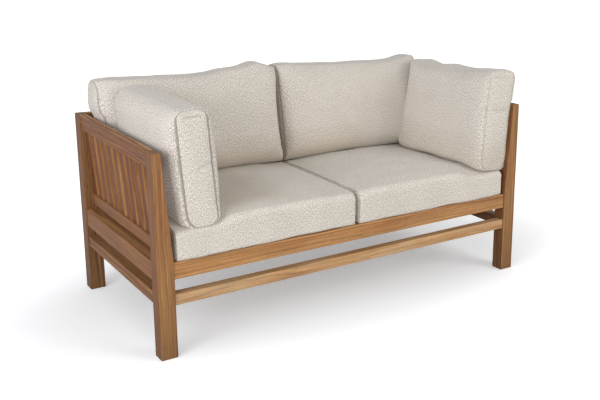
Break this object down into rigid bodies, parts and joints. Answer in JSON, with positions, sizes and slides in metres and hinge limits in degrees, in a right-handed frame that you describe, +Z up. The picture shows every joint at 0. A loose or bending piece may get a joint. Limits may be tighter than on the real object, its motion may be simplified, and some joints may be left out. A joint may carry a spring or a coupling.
{
  "type": "patio loveseat",
  "caption": "Outdoor loveseat with a slatted hardwood frame whose arms lean outwards, with loose boxed seat, back and arm cushions.",
  "frame": {"origin": "on the floor, under the middle of the frame", "axes": "+X across the seat, to the right for someone who faces the loveseat; +Y from the front edge of the seat to the back panel; +Z up"},
  "size_m": [1.6, 0.8, 0.867],
  "materials": {
    "teak": "oiled, satin",
    "cushion_fabric": "flecked plain weave, matte",
    "foam_core": "open foam, matte",
    "screw_steel": "plain countersunk heads"
  },
  "bodies": {
    "frame": {"leg_front_left": "teak", "leg_front_right": "teak", "leg_back_left": "teak", "leg_back_right": "teak", "front_seat_rail": "teak", "back_seat_rail": "teak", "left_seat_rail": "teak", "right_seat_rail": "teak", "front_stretcher": "teak", "back_stretcher": "teak", "left_stretcher": "teak", "right_stretcher": "teak", "left_arm_top_rail": "teak", "left_arm_bottom_rail": "teak", "right_arm_top_rail": "teak", "right_arm_bottom_rail": "teak", "left_arm_slat_01": "teak", "left_arm_slat_02": "teak", "left_arm_slat_03": "teak", "left_arm_slat_04": "teak", "left_arm_slat_05": "teak", "left_arm_slat_06": "teak", "left_arm_slat_07": "teak", "left_arm_slat_08": "teak", "left_arm_slat_09": "teak", "left_arm_slat_10": "teak", "left_arm_slat_11": "teak", "right_arm_slat_01": "teak", "right_arm_slat_02": "teak", "right_arm_slat_03": "teak", "right_arm_slat_04": "teak", "right_arm_slat_05": "teak", "right_arm_slat_06": "teak", "right_arm_slat_07": "teak", "right_arm_slat_08": "teak", "right_arm_slat_09": "teak", "right_arm_slat_10": "teak", "right_arm_slat_11": "teak", "back_top_rail": "teak", "back_bottom_rail": "teak", "back_centre_stile": "teak", "back_slats_left": "teak", "back_slats_right": "teak", "front_seat_cleat": "teak", "back_seat_cleat": "teak", "centre_bearer": "teak", "seat_slats": "teak", "seat_screws": "screw_steel"},
    "seat_cushion_left": {"seat_cushion_cover_left": "cushion_fabric", "seat_cushion_core_left": "foam_core"},
    "seat_cushion_right": {"seat_cushion_cover_right": "cushion_fabric", "seat_cushion_core_right": "foam_core"},
    "back_cushion_left": {"back_cushion_cover_left": "cushion_fabric", "back_cushion_core_left": "foam_core"},
    "back_cushion_right": {"back_cushion_cover_right": "cushion_fabric", "back_cushion_core_right": "foam_core"},
    "arm_cushion_left": {"arm_cushion_cover_left": "cushion_fabric", "arm_cushion_core_left": "foam_core"},
    "arm_cushion_right": {"arm_cushion_cover_right": "cushion_fabric", "arm_cushion_core_right": "foam_core"}
  },
  "joints": [
    {"name": "seat_cushion_left_lift", "type": "slide", "parent": "frame", "child": "seat_cushion_left", "axis": [0, 0, 1], "range_m": [0, 0.3]},
    {"name": "arm_cushion_left_lift", "type": "slide", "parent": "seat_cushion_left", "child": "arm_cushion_left", "axis": [0, 0, 1], "range_m": [0, 0.35]},
    {"name": "back_cushion_left_lift", "type": "slide", "parent": "seat_cushion_left", "child": "back_cushion_left", "axis": [0, 0, 1], "range_m": [0, 0.35]},
    {"name": "seat_cushion_right_lift", "type": "slide", "parent": "frame", "child": "seat_cushion_right", "axis": [0, 0, 1], "range_m": [0, 0.3]},
    {"name": "arm_cushion_right_lift", "type": "slide", "parent": "seat_cushion_right", "child": "arm_cushion_right", "axis": [0, 0, 1], "range_m": [0, 0.35]},
    {"name": "back_cushion_right_lift", "type": "slide", "parent": "seat_cushion_right", "child": "back_cushion_right", "axis": [0, 0, 1], "range_m": [0, 0.35]}
  ]
}
